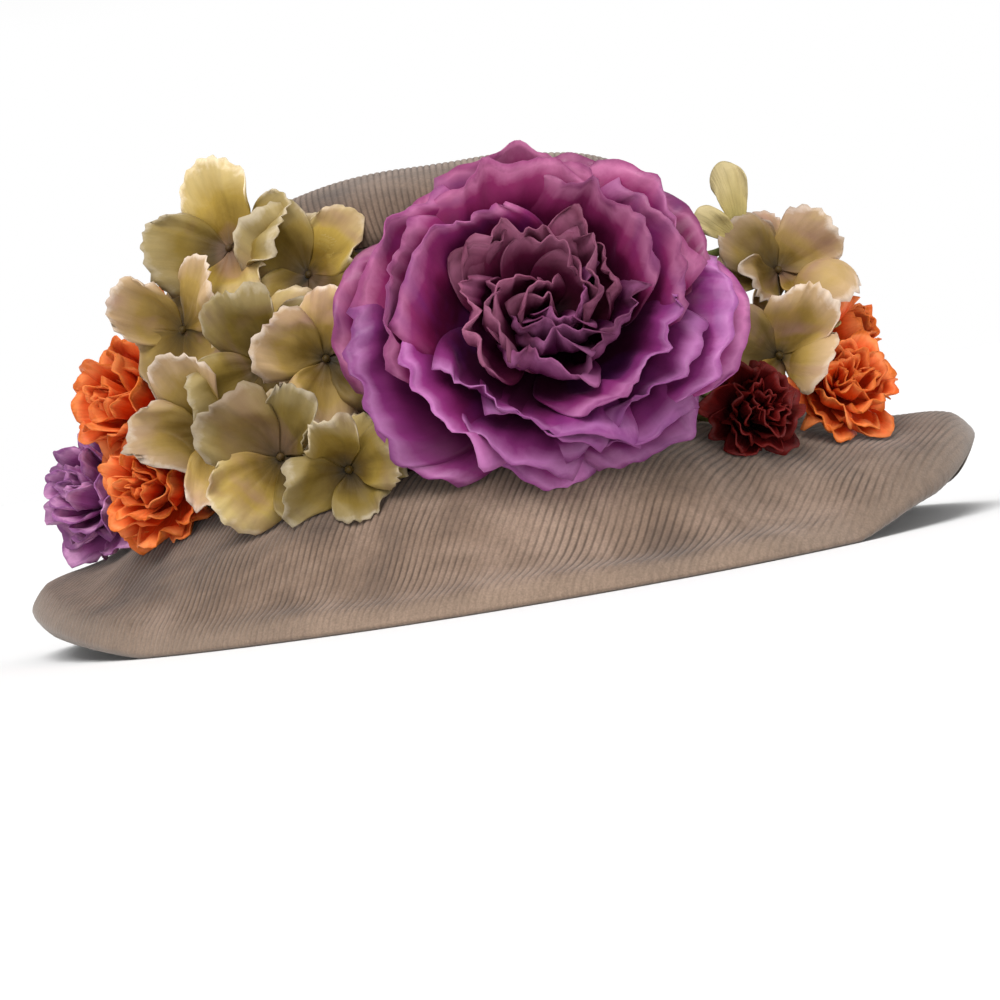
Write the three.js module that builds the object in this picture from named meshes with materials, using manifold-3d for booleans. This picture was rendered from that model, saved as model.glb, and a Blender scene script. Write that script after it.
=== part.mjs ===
import * as THREE from 'three';
import { ParametricGeometry } from 'three/addons/geometries/ParametricGeometry.js';
import { mergeVertices } from 'three/addons/utils/BufferGeometryUtils.js';
import Module from 'manifold-3d';

// A soft corduroy hat with a wreath of silk flowers, resting on its brim.
// Millimetres, +Z up, the wearer faces -Y and the floor is at z = 0.

const wasm = await Module();
wasm.setup();

// Driving sizes
const corduroyThickness = 2;
const petalThickness = 1;
const seatGap = 0.3;
const petalGap = 0.4;
const frontAngle = 270;

// How far a grown sheet runs past its ends, as a share of its width
const overrun = 0.04;

const crown = {
  openingHalfWidth: 80,
  openingHalfLength: 96,
  seamHeight: 42,
  shoulderHeight: 112,
  topHeight: 142,
  lean: 9,
  leanCurve: 1.7,
  wrinkle: 1.1,
  domeCurve: 0.8,
  shoulderCurve: 0.86,
  dent: 2.4,
  dentSpread: 0.45,
  swag: 1.2,
  tipTurn: 40,
  aroundSteps: 36,
};

const brim = {
  flange: 4,
  arch: 5,
  archOut: 0.3,
  droop: 0.78,
  droopOut: 0.74,
  hem: 8,
  steps: 52,
  outSteps: 8,
};

// The brim's edge: how far it reaches from the middle of the hat, and its height over the floor.
// Where the height is below zero the cloth is pressed flat on the floor.
const brimEdge = [
  { angle: 0, reach: 159, height: 17 },
  { angle: 20, reach: 153, height: 5 },
  { angle: 45, reach: 148, height: -8 },
  { angle: 68, reach: 146, height: -8 },
  { angle: 90, reach: 146, height: -8 },
  { angle: 112, reach: 147, height: -8 },
  { angle: 138, reach: 150, height: 3 },
  { angle: 163, reach: 152, height: 9 },
  { angle: 185, reach: 153, height: 19 },
  { angle: 205, reach: 153, height: 13 },
  { angle: 225, reach: 155, height: 3 },
  { angle: 243, reach: 156, height: -5 },
  { angle: 262, reach: 158, height: -5 },
  { angle: 281, reach: 158, height: -5 },
  { angle: 300, reach: 158, height: -5 },
  { angle: 318, reach: 159, height: 5 },
  { angle: 335, reach: 163, height: 20 },
  { angle: 348, reach: 163, height: 27 },
];

// Soft puckers in the brim: where they lie, from 0 at the seam to 1 at the edge, and how far they rise.
const brimFolds = [
  { angle: 234, width: 8, out: 0.62, spread: 0.22, rise: 3.2 },
  { angle: 246, width: 7, out: 0.52, spread: 0.2, rise: 2.4 },
  { angle: 298, width: 9, out: 0.5, spread: 0.2, rise: 3.0 },
  { angle: 322, width: 10, out: 0.8, spread: 0.18, rise: 3.4 },
  { angle: 345, width: 12, out: 0.7, spread: 0.25, rise: -2.6 },
  { angle: 192, width: 12, out: 0.7, spread: 0.25, rise: -2.2 },
  { angle: 150, width: 12, out: 0.6, spread: 0.25, rise: 2.0 },
  { angle: 76, width: 14, out: 0.5, spread: 0.22, rise: 2.0 },
  { angle: 28, width: 11, out: 0.6, spread: 0.25, rise: 2.4 },
];

const rose = {
  place: { x: 26, y: -104, z: 77, turn: 3, lift: 20 },
  stalkRadius: 3.7,
  stalkLength: 12,
  collarRadius: 4,
};

// One row for each layer of the rose's petals, from the back to the heart.
const roseLayers = [
  { name: 'back', petals: 6, reach: 63, base: 0, tip: 11, belly: 0.8, ruffle: 3.2, waves: 13, start: 318 },
  { name: 'outer', petals: 5, reach: 53, base: 2.6, tip: 22, belly: 0.78, ruffle: 2.8, waves: 9, start: 64 },
  { name: 'middle', petals: 5, reach: 40, base: 5.2, tip: 29, belly: 0.76, ruffle: 2.2, waves: 8, start: 5 },
  { name: 'inner', petals: 4, reach: 27, base: 7.8, tip: 32, belly: 0.74, ruffle: 1.4, waves: 7, start: 40 },
];
const rosePetal = { lobe: 0.14, lap: 1.6, lapStart: 1 / 8 };

const roseHeart = { radius: 14, base: 10.6, tip: 33, turns: 3, ridge: 1.6 };

// Four-petalled hydrangea florets. Turn is to the right of straight ahead, lift is upwards.
const florets = [
  { name: 'left_top', x: -66, y: -62, z: 120, turn: -26, lift: 26, radius: 24, spin: 10, tone: 'olive' },
  { name: 'left_high', x: -42, y: -76, z: 107, turn: -10, lift: 20, radius: 22, spin: 38, tone: 'olive' },
  { name: 'left_side', x: -83, y: -64, z: 97, turn: -38, lift: 8, radius: 23, spin: 50, tone: 'sand' },
  { name: 'left_middle', x: -59, y: -86, z: 82, turn: -16, lift: 8, radius: 24, spin: 22, tone: 'olive' },
  { name: 'left_inner', x: -39, y: -95, z: 80, turn: -4, lift: 6, radius: 20, spin: 66, tone: 'sand' },
  { name: 'left_low', x: -80, y: -80, z: 64, turn: -32, lift: -4, radius: 23, spin: 4, tone: 'sand' },
  { name: 'left_front', x: -58, y: -102, z: 53, turn: -14, lift: 4, radius: 22, spin: 45, tone: 'olive' },
  { name: 'left_under', x: -36, y: -110, z: 46, turn: -4, lift: -2, radius: 18, spin: 15, tone: 'olive' },
  { name: 'right_high', x: 104, y: -50, z: 86, turn: 26, lift: 14, radius: 20, spin: 30, tone: 'sand' },
  { name: 'right_low', x: 98, y: -70, z: 59, turn: 20, lift: 4, radius: 20, spin: 62, tone: 'sand' },
];
const floretPetal = { waist: 0.52, cup: 5, fall: 3, crinkle: 1.1, crinkles: 9 };

// Round ruffled blooms that lie on the brim against the crown.
const blooms = [
  { name: 'orange_bloom_low', x: -98, y: -62, z: 49, turn: -34, lift: 10, radius: 18, depth: 17 },
  { name: 'orange_bloom_high', x: -104, y: -42, z: 76, turn: -42, lift: 18, radius: 20, depth: 18 },
  { name: 'orange_bloom_back', x: -90, y: -28, z: 97, turn: -56, lift: 28, radius: 14, depth: 13 },
  { name: 'violet_bloom', x: -121, y: -22, z: 50, turn: -50, lift: 20, radius: 21, depth: 18 },
  { name: 'red_bloom', x: 86, y: -86, z: 43, turn: 14, lift: 8, radius: 13, depth: 13 },
  { name: 'orange_bloom_right', x: 116, y: -60, z: 46, turn: 24, lift: 30, radius: 18, depth: 11 },
];
const bloomPetal = { layerDepth: 6, swell: 0.1, rise: 0.14, waves: 6, twist: 4 };

// Closed buds with a green calyx, on the right.
const buds = [
  { name: 'orange_bud_upper', x: 112, y: -46, z: 71, turn: 40, lift: 30, radius: 8, length: 22 },
  { name: 'orange_bud_lower', x: 119, y: -36, z: 62, turn: 56, lift: 12, radius: 8, length: 20 },
];

const budSeat = -0.15;

const leaf = { x: 94, y: -52, z: 97, turn: 8, length: 27, width: 15, neck: 0.15, curl: 4 };

// Stems end inside the crown's side wall, this share of the way out from its middle
const stem = { radius: 1.3, sides: 6, headDepth: 0.4, aimShare: 0.35, clearance: 14 };

const corduroyColour = 0xa89888;
const heartColour = 0x5a1f55;
const roseColour = 0x9c468c;
const tones = {
  olive: 0xb8ab5e,
  sand: 0xb3a67f,
  orange: 0xf06422,
  violet: 0x9a4a9c,
  red: 0x8e1f22,
  green: 0x8f9455,
};
const clothRoughness = 0.9;
const silkRoughness = 0.8;

// Helpers for angles and smooth bumps
const radians = THREE.MathUtils.degToRad;
const wrapped = (degrees) => THREE.MathUtils.euclideanModulo(degrees + 180, 360) - 180;
const bump = (distance, width) => Math.exp(-((distance / width) ** 2));

function ovalPoint(angle, halfWidth, halfLength, height) {
  const x = halfWidth * Math.cos(angle);
  const y = halfLength * Math.sin(angle);
  return new THREE.Vector3(x, y, height);
}

// The outward normal of a surface(angle, share) that runs round a middle
function surfaceNormal(surface, angle, share) {
  const step = 1e-3;
  const along = surface(angle, share + step).sub(surface(angle, share - step));
  const around = surface(angle + step, share).sub(surface(angle - step, share));
  return along.cross(around).normalize();
}

function middleNormal(surface) {
  const sum = new THREE.Vector3();
  const turns = 12;
  const nearMiddle = 0.02;
  for (let turn = 0; turn < turns; turn += 1) {
    sum.add(surfaceNormal(surface, (turn / turns) * 2 * Math.PI, nearMiddle));
  }
  return sum.normalize();
}

// A sheet of cloth of even thickness, made from a surface(angle, share) that runs round a middle.
// With a hole its section closes on itself, otherwise it meets in the middle.
// A grown sheet is thicker by its growth on both faces and overruns its ends.
function sheetGeometry(surface, sheet) {
  const { thickness, aroundSteps, outSteps, hole = true, grow = 0 } = sheet;
  const shares = Array.from({ length: outSteps + 1 }, (_, row) => row / outSteps);
  if (grow > 0) shares.push(1 + overrun);
  if (grow > 0 && hole) shares.unshift(-overrun);
  const lastRow = shares.length - 1;
  const rows = 2 * lastRow + (hole ? 2 : 1);
  const middle = hole ? null : middleNormal(surface);
  const place = (u, v, target) => {
    const angle = 2 * Math.PI * (u % 1);
    const row = Math.round(v * rows) % (hole ? rows : rows + 1);
    const onFace = row <= lastRow;
    const share = shares[onFace ? row : 2 * lastRow + 1 - row];
    const normal = hole || share > 0 ? surfaceNormal(surface, angle, share) : middle;
    const distance = onFace ? grow : -thickness - grow;
    target.copy(surface(angle, share)).addScaledVector(normal, distance);
  };
  return new ParametricGeometry(place, aroundSteps, rows);
}

// A closed solid from a geometry: corners welded, empty triangles dropped, faces pointing out.
function solidOf(geometry, weld = 0.001) {
  const bare = new THREE.BufferGeometry();
  bare.setAttribute('position', geometry.getAttribute('position').clone());
  bare.setIndex(geometry.getIndex());
  const welded = mergeVertices(bare, weld);
  const positions = welded.getAttribute('position').array;
  const index = welded.getIndex().array;
  const triangles = [];
  let volume = 0;
  const corner = (i) => new THREE.Vector3().fromArray(positions, 3 * i);
  for (let i = 0; i < index.length; i += 3) {
    const [a, b, c] = [index[i], index[i + 1], index[i + 2]];
    if (a === b || b === c || c === a) continue;
    triangles.push([a, b, c]);
    volume += corner(a).dot(corner(b).cross(corner(c)));
  }
  const outward = triangles.map(([a, b, c]) => (volume < 0 ? [a, c, b] : [a, b, c]));
  const mesh = new wasm.Mesh({
    numProp: 3,
    vertProperties: Float32Array.from(positions),
    triVerts: Uint32Array.from(outward.flat()),
  });
  return new wasm.Manifold(mesh);
}

function geometryOf(solid) {
  const mesh = solid.getMesh();
  const geometry = new THREE.BufferGeometry();
  geometry.setAttribute('position', new THREE.BufferAttribute(mesh.vertProperties, 3));
  geometry.setIndex(new THREE.BufferAttribute(mesh.triVerts, 1));
  geometry.computeVertexNormals();
  return geometry;
}

// The largest of the separate bodies in a solid, with its tiny slivers welded away
function largestBody(solid) {
  const clean = solidOf(geometryOf(solid), 0.02);
  const bodies = clean.decompose().sort((a, b) => b.volume() - a.volume());
  return bodies[0];
}

// A frame at a flower's back: +Z is the way it faces and +Y points up.
function flowerFrame({ x, y, z, turn = 0, lift = 0, spin = 0 }) {
  const heading = radians(frontAngle + turn);
  const rise = radians(lift);
  const facing = ovalPoint(heading, Math.cos(rise), Math.cos(rise), Math.sin(rise));
  const side = new THREE.Vector3(0, 0, 1).cross(facing).normalize();
  const up = facing.clone().cross(side);
  const frame = new THREE.Matrix4().makeBasis(side, up, facing);
  frame.multiply(new THREE.Matrix4().makeRotationZ(radians(spin)));
  return frame.setPosition(x, y, z);
}

// Crown: an oval side that leans in a little, under a domed tip
function crownOval(angle, inset, height) {
  const wrinkles = crown.wrinkle * Math.sin(5 * angle + 0.6) * Math.sin(2 * angle + height / 19);
  const width = crown.openingHalfWidth + corduroyThickness - inset + wrinkles;
  const length = crown.openingHalfLength + corduroyThickness - inset + wrinkles;
  return ovalPoint(angle, width, length, height);
}

// The side runs from the shoulder at 0 down to the seam with the brim at 1.
function crownSideSurface(angle, share) {
  const height = THREE.MathUtils.lerp(crown.shoulderHeight, crown.seamHeight + seatGap, share);
  const rise = Math.max(0, 1 - share);
  const inset = crown.lean * rise ** crown.leanCurve;
  const fade = Math.min(1, 4 * rise);
  const point = crownOval(angle, inset, height);
  const plain = ovalPoint(
    angle,
    crown.openingHalfWidth + corduroyThickness - inset,
    crown.openingHalfLength + corduroyThickness - inset,
    height,
  );
  return plain.lerp(point, fade);
}

// The tip runs from its middle at 0 to the seam with the side at 1.
function crownTipSurface(angle, share) {
  const bend = radians(90 * Math.min(1, share));
  const rise = crown.topHeight - crown.shoulderHeight - seatGap;
  const below = crown.tipTurn * Math.max(0, share - 1);
  const height = crown.shoulderHeight + seatGap - below + rise * Math.cos(bend) ** crown.domeCurve;
  const edge = crownOval(angle, crown.lean, crown.shoulderHeight);
  const spread = Math.sin(bend) ** crown.shoulderCurve;
  const swags = crown.swag * Math.sin(3 * angle) * share * (1 - share);
  const dent = crown.dent * bump(share, crown.dentSpread) + swags;
  return new THREE.Vector3(edge.x * spread, edge.y * spread, height - dent);
}

// Brim: a bell of cloth from the crown's seam to its waved edge
const edgeCurve = new THREE.CatmullRomCurve3(
  brimEdge.map(({ angle, reach, height }) => ovalPoint(radians(angle), reach, reach, height)),
  true,
  'centripetal',
);

function foldRise(angle, share) {
  const degrees = THREE.MathUtils.radToDeg(angle);
  return brimFolds.reduce((rise, fold) => {
    const across = bump(wrapped(degrees - fold.angle), fold.width);
    return rise + fold.rise * across * bump(share - fold.out, fold.spread);
  }, 0);
}

function brimSurface(turn, share) {
  const edge = edgeCurve.getPoint(THREE.MathUtils.euclideanModulo(turn / (2 * Math.PI), 1));
  const angle = Math.atan2(edge.y, edge.x);
  const seam = ovalPoint(angle, crown.openingHalfWidth, crown.openingHalfLength, crown.seamHeight);
  const flange = seam.clone().lerp(edge, brim.flange / seam.distanceTo(edge)).setZ(crown.seamHeight);
  const rowShare = 1 / brim.outSteps;
  if (share <= rowShare) return seam.lerp(flange, share / rowShare);
  const shoulder = flange.clone().lerp(edge, brim.archOut).setZ(crown.seamHeight + brim.arch);
  const droopHeight = THREE.MathUtils.lerp(crown.seamHeight, edge.z, brim.droop);
  const droop = flange.clone().lerp(edge, brim.droopOut).setZ(droopHeight);
  const bell = new THREE.CubicBezierCurve3(flange, shoulder, droop, edge);
  const hemStart = 1 - brim.hem / (3 * edge.distanceTo(droop));
  const inHem = share > 1 - rowShare;
  const hemShare = (share - 1 + rowShare) / rowShare;
  const bellShare = (share - rowShare) / (1 - 2 * rowShare);
  const outShare = inHem ? THREE.MathUtils.lerp(hemStart, 1, hemShare) : hemStart * bellShare;
  const point = bell.getPoint(outShare);
  point.z += foldRise(angle, outShare) * Math.min(1, 3 * outShare);
  return point;
}

// Cloth that meets the floor is pressed flat on it.
function pressedOnFloor(geometry, thickness, rows) {
  const position = geometry.getAttribute('position');
  for (let i = 0; i < position.count; i += 1) {
    const row = Math.floor(i / (brim.steps + 1));
    const onTop = row <= rows || row === 2 * rows + 2;
    const lowest = onTop ? thickness : 0;
    position.setZ(i, Math.max(lowest, position.getZ(i)));
  }
  return geometry;
}

function brimGeometry(grow = 0) {
  const sheet = { thickness: corduroyThickness, aroundSteps: brim.steps, outSteps: brim.outSteps, grow };
  const geometry = sheetGeometry(brimSurface, sheet);
  return grow === 0 ? pressedOnFloor(geometry, corduroyThickness, brim.outSteps) : geometry;
}

function crownSideGeometry(grow = 0) {
  const { aroundSteps } = crown;
  const sheet = { thickness: corduroyThickness, aroundSteps, outSteps: 3, grow };
  return sheetGeometry(crownSideSurface, sheet);
}

function crownTipGeometry(grow = 0) {
  const { aroundSteps } = crown;
  const sheet = { thickness: corduroyThickness, aroundSteps, outSteps: 4, hole: false, grow };
  return sheetGeometry(crownTipSurface, sheet);
}

// Rose: each layer is one lobed sheet round the stalk, its petals lapped and ruffled
function roseLayerSurface(layer) {
  return (angle, share) => {
    const petal = (layer.petals * (angle - radians(layer.start))) / (2 * Math.PI);
    const across = THREE.MathUtils.euclideanModulo(petal, 1);
    const lobe = 1 - rosePetal.lobe * (1 - Math.sin(Math.PI * across) ** 0.5);
    const reach = layer.reach * (1 + (lobe - 1) * share);
    const base = new THREE.Vector2(rose.collarRadius, layer.base);
    const belly = new THREE.Vector2(reach * layer.belly, layer.base);
    const tip = new THREE.Vector2(reach, layer.tip);
    const section = new THREE.QuadraticBezierCurve(base, belly, tip).getPoint(share);
    const lapped = (across - 0.5) * Math.min(1, across / rosePetal.lapStart);
    const lap = rosePetal.lap * lapped * share ** 2;
    const ruffle = layer.ruffle * share ** 3 * Math.sin(layer.waves * angle + layer.start);
    return ovalPoint(angle, section.x, section.x, section.y + lap + ruffle);
  };
}

function roseLayerGeometry(layer) {
  const aroundSteps = 6 * layer.petals;
  const sheet = { thickness: petalThickness, aroundSteps, outSteps: 3 };
  return sheetGeometry(roseLayerSurface(layer), sheet);
}

// The heart: a crumpled bud whose ridges wind in, on a stalk that carries every layer
function roseHeartGeometry() {
  const profile = [
    { radius: 0, height: -rose.stalkLength },
    { radius: rose.stalkRadius, height: -rose.stalkLength },
    { radius: rose.stalkRadius, height: roseHeart.base },
    { radius: 0.62 * roseHeart.radius, height: roseHeart.base + 3 },
    { radius: roseHeart.radius, height: 0.6 * roseHeart.tip },
    { radius: 0.96 * roseHeart.radius, height: 0.86 * roseHeart.tip },
    { radius: 0.62 * roseHeart.radius, height: roseHeart.tip },
    { radius: 0.3 * roseHeart.radius, height: 0.9 * roseHeart.tip },
    { radius: 0, height: 0.82 * roseHeart.tip },
  ];
  const points = profile.map(({ radius, height }) => new THREE.Vector2(radius, height));
  const geometry = new THREE.LatheGeometry(points, 18);
  geometry.rotateX(Math.PI / 2);
  const position = geometry.getAttribute('position');
  for (let i = 0; i < position.count; i += 1) {
    const point = new THREE.Vector3().fromBufferAttribute(position, i);
    const radius = Math.hypot(point.x, point.y);
    if (radius <= rose.stalkRadius + 1) continue;
    const angle = Math.atan2(point.y, point.x);
    const wind = roseHeart.turns * angle + radius * 0.5;
    const swell = 1 + (roseHeart.ridge * Math.sin(wind)) / roseHeart.radius;
    position.setXYZ(i, point.x * swell, point.y * swell, point.z + roseHeart.ridge * Math.cos(wind));
  }
  return geometry;
}

// Hydrangea floret: four cupped petals cut from one sheet, on a thin stem
function floretSurface(floret) {
  return (angle, share) => {
    const { waist, cup, fall, crinkle, crinkles } = floretPetal;
    const petal = Math.abs(Math.cos(2 * angle)) ** 0.5;
    const reach = Math.max(floret.radius * (waist + (1 - waist) * petal) * share, 1e-4);
    const rise = cup * share ** 2 - fall * petal * share ** 4;
    const ripple = crinkle * share ** 3 * Math.sin(crinkles * angle + floret.spin);
    return ovalPoint(angle, reach, reach, rise + ripple);
  };
}

function floretGeometry(floret) {
  const sheet = { thickness: petalThickness, aroundSteps: 16, outSteps: 2, hole: false };
  return sheetGeometry(floretSurface(floret), sheet);
}

// Stem: from behind a flower in to the wall of the crown
function stemGeometry(flower) {
  const lowest = crown.seamHeight + stem.clearance;
  const highest = crown.shoulderHeight - stem.clearance;
  const height = THREE.MathUtils.clamp(flower.z, lowest, highest);
  const inside = new THREE.Vector3(stem.aimShare * flower.x, stem.aimShare * flower.y, height);
  const head = new THREE.Vector3(0, 0, -stem.headDepth).applyMatrix4(flowerFrame(flower));
  const length = head.distanceTo(inside);
  const geometry = new THREE.CylinderGeometry(stem.radius, stem.radius, length, stem.sides);
  geometry.rotateX(Math.PI / 2);
  const way = head.clone().sub(inside).normalize();
  const turn = new THREE.Quaternion().setFromUnitVectors(new THREE.Vector3(0, 0, 1), way);
  geometry.applyQuaternion(turn);
  const middle = head.clone().add(inside).multiplyScalar(0.5);
  return geometry.translate(middle.x, middle.y, middle.z);
}

// Ruffled bloom: a domed head with rows of wavy petals
function bloomGeometry(bloom) {
  const { radius, depth } = bloom;
  const layers = Math.round(depth / bloomPetal.layerDepth);
  const points = [
    new THREE.Vector2(0, -0.75 * depth),
    new THREE.Vector2(0.35 * radius, -0.7 * depth),
    new THREE.Vector2(0.8 * radius, -0.3 * depth),
  ];
  for (let layer = 0; layer < layers; layer += 1) {
    const share = layer / layers;
    const height = depth * share ** 0.8;
    points.push(new THREE.Vector2(radius * (1 - 0.75 * share), height + 0.12 * depth));
    points.push(new THREE.Vector2(radius * (0.72 - 0.62 * share), height + 0.02 * depth));
  }
  points.push(new THREE.Vector2(0, depth * 0.8));
  const geometry = new THREE.LatheGeometry(points, 16);
  geometry.rotateX(Math.PI / 2);
  const position = geometry.getAttribute('position');
  for (let i = 0; i < position.count; i += 1) {
    const point = new THREE.Vector3().fromBufferAttribute(position, i);
    const reach = Math.hypot(point.x, point.y) / radius;
    const angle = Math.atan2(point.y, point.x);
    const ruffle = Math.sin(bloomPetal.waves * angle + bloomPetal.twist * reach + bloom.x) * reach;
    const swell = 1 + bloomPetal.swell * ruffle;
    position.setXYZ(i, point.x * swell, point.y * swell, point.z + bloomPetal.rise * depth * ruffle);
  }
  return geometry;
}

function budGeometry(bud) {
  const shape = [
    [0, 0],
    [0.35, 0.04],
    [0.8, 0.24],
    [0.86, 0.3],
    [1, 0.5],
    [0.86, 0.78],
    [0.45, 0.96],
    [0, 0.9],
  ];
  const points = shape.map(([out, up]) => new THREE.Vector2(out * bud.radius, up * bud.length));
  const geometry = new THREE.LatheGeometry(points, 12).rotateX(Math.PI / 2);
  return geometry.translate(0, 0, budSeat * bud.length);
}

// Leaf: a cupped blade that stands up behind the right-hand flowers
function leafGeometry() {
  const blade = new THREE.BoxGeometry(1, 1, 1, 4, 6, 1);
  const position = blade.getAttribute('position');
  for (let i = 0; i < position.count; i += 1) {
    const across = 2 * position.getX(i);
    const along = position.getY(i) + 0.5;
    const side = position.getZ(i);
    const outline = Math.sin(Math.PI * along ** 0.8) ** 0.8;
    const halfWidth = 0.5 * leaf.width * (leaf.neck + (1 - leaf.neck) * outline);
    const cup = leaf.curl * (across ** 2 * 0.5 - along ** 2);
    position.setXYZ(i, across * halfWidth, along * leaf.length, cup + side * petalThickness);
  }
  return blade;
}

const hat = new THREE.Group();
const material = (color, roughness) => new THREE.MeshStandardMaterial({ color, roughness, metalness: 0 });

function addMesh(name, geometry, color, roughness) {
  const mesh = new THREE.Mesh(geometry, material(color, roughness));
  mesh.name = name;
  hat.add(mesh);
}

const crownSide = solidOf(crownSideGeometry());
const crownTip = solidOf(crownTipGeometry());
const brimSolid = solidOf(brimGeometry());
addMesh('brim', geometryOf(brimSolid), corduroyColour, clothRoughness);
addMesh('crown_side', geometryOf(crownSide), corduroyColour, clothRoughness);
addMesh('crown_tip', geometryOf(crownTip), corduroyColour, clothRoughness);

// Flowers go on one after another, and each is trimmed clear of what is already there.
const taken = [
  solidOf(brimGeometry(seatGap)),
  solidOf(crownSideGeometry(seatGap)),
  solidOf(crownTipGeometry(seatGap)),
];

function grownSolid(solid, distance) {
  const geometry = geometryOf(solid);
  const position = geometry.getAttribute('position');
  const normal = geometry.getAttribute('normal');
  for (let i = 0; i < position.count; i += 1) {
    position.setX(i, position.getX(i) + distance * normal.getX(i));
    position.setY(i, position.getY(i) + distance * normal.getY(i));
    position.setZ(i, position.getZ(i) + distance * normal.getZ(i));
  }
  return solidOf(geometry);
}

function seated(solid) {
  const trimmed = taken.reduce((rest, other) => rest.subtract(other), solid);
  return largestBody(trimmed);
}

function addFlower(name, solid, color) {
  const body = seated(solid);
  taken.push(grownSolid(body, petalGap), body);
  addMesh(name, geometryOf(body), color, silkRoughness);
}

const roseFrame = flowerFrame(rose.place);
addFlower('rose_heart', solidOf(roseHeartGeometry().applyMatrix4(roseFrame)), heartColour);
for (const layer of [...roseLayers].reverse()) {
  const petals = solidOf(roseLayerGeometry(layer).applyMatrix4(roseFrame));
  addFlower(`rose_petals_${layer.name}`, petals, roseColour);
}

for (const floret of florets) {
  const petals = solidOf(floretGeometry(floret).applyMatrix4(flowerFrame(floret)));
  addFlower(`hydrangea_${floret.name}`, petals.add(solidOf(stemGeometry(floret))), tones[floret.tone]);
}

for (const bloom of blooms) {
  const head = solidOf(bloomGeometry(bloom).applyMatrix4(flowerFrame(bloom)));
  const tone = bloom.name.split('_')[0];
  addFlower(bloom.name, head.add(solidOf(stemGeometry(bloom))), tones[tone]);
}

for (const bud of buds) {
  const head = solidOf(budGeometry(bud).applyMatrix4(flowerFrame(bud)));
  addFlower(bud.name, head.add(solidOf(stemGeometry(bud))), tones.orange);
}

const leafBlade = solidOf(leafGeometry().applyMatrix4(flowerFrame(leaf)));
addFlower('leaf', leafBlade.add(solidOf(stemGeometry(leaf))), tones.green);

// The origin is on the floor under the middle of the hat.
const box = new THREE.Box3().setFromObject(hat);
const middle = box.getCenter(new THREE.Vector3());
hat.position.set(-middle.x, -middle.y, -box.min.z);

export default hat;
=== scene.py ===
import math
import random
from bisect import bisect_right
from math import acos, atan2, cos, exp, hypot, log1p, pi, radians, sin, sqrt
import bmesh
import bpy
from mathutils import Matrix, Vector, noise


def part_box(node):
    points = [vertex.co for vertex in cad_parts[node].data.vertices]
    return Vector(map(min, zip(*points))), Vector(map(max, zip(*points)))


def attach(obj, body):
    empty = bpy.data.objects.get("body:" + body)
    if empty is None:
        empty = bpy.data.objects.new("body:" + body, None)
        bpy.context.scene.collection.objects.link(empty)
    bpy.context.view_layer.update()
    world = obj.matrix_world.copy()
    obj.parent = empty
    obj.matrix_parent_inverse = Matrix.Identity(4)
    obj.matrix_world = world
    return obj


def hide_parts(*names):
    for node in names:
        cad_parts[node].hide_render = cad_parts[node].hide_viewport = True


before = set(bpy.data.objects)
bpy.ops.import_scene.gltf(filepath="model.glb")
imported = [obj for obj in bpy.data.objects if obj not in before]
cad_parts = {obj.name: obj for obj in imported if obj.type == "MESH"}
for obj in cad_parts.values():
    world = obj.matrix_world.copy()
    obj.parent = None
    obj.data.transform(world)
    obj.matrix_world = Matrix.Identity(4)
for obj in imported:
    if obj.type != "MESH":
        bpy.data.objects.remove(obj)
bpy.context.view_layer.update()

# Corduroy hat with silk flowers, resting on its brim.
# Sizes are millimetres from the middle of the hat, and toRow makes them metres in the model's frame.
crownLow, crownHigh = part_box("crown_side")
hatMiddle = Vector(((crownLow.x + crownHigh.x) / 2, (crownLow.y + crownHigh.y) / 2, 0))
toRow = Matrix.Translation(hatMiddle) @ Matrix.Scale(0.001, 4)


# Colours and node helpers
def hexColour(code):
    parts = [int(code[i:i + 2], 16) / 255 for i in (0, 2, 4)]
    return tuple(c / 12.92 if c <= 0.04045 else ((c + 0.055) / 1.055) ** 2.4 for c in parts) + (1,)


def hexRamp(*stops):
    return [(position, hexColour(code)) for position, code in stops]


def grey(value):
    return (value, value, value, 1)


def newMaterial(name):
    material = bpy.data.materials.new(name)
    material.use_nodes = True
    tree = material.node_tree
    return material, tree, tree.nodes["Principled BSDF"]


def plug(tree, socket, value):
    if isinstance(value, bpy.types.NodeSocket):
        tree.links.new(value, socket)
    else:
        socket.default_value = value


def noiseNode(tree, vector, scale, detail=3.0, roughness=0.55, distortion=0.0):
    node = tree.nodes.new("ShaderNodeTexNoise")
    for key, value in (("Vector", vector), ("Scale", scale), ("Detail", detail),
                       ("Roughness", roughness), ("Distortion", distortion)):
        plug(tree, node.inputs[key], value)
    return node.outputs["Fac"]


def rampNode(tree, factor, stops, easing="LINEAR"):
    node = tree.nodes.new("ShaderNodeValToRGB")
    node.color_ramp.interpolation = easing
    elements = node.color_ramp.elements
    while len(elements) < len(stops):
        elements.new(0.5)
    for element, (position, colour) in zip(elements, stops):
        element.position = position
        element.color = colour
    plug(tree, node.inputs[0], factor)
    return node.outputs["Color"]


def mixNode(tree, blend, factor, first, second):
    node = tree.nodes.new("ShaderNodeMix")
    node.data_type = "RGBA"
    node.blend_type = blend
    for index, value in ((0, factor), (6, first), (7, second)):
        plug(tree, node.inputs[index], value)
    return node.outputs[2]


def mathNode(tree, operation, first, second=0.0):
    node = tree.nodes.new("ShaderNodeMath")
    node.operation = operation
    plug(tree, node.inputs[0], first)
    plug(tree, node.inputs[1], second)
    return node.outputs[0]


def bumpNode(tree, height, strength, distance, below=None):
    node = tree.nodes.new("ShaderNodeBump")
    node.inputs["Strength"].default_value = strength
    node.inputs["Distance"].default_value = distance
    plug(tree, node.inputs["Height"], height)
    if below is not None:
        plug(tree, node.inputs["Normal"], below)
    return node.outputs["Normal"]


def stretched(tree, vector, scale):
    node = tree.nodes.new("ShaderNodeMapping")
    node.inputs["Scale"].default_value = scale
    plug(tree, node.inputs["Vector"], vector)
    return node.outputs["Vector"]


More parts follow.
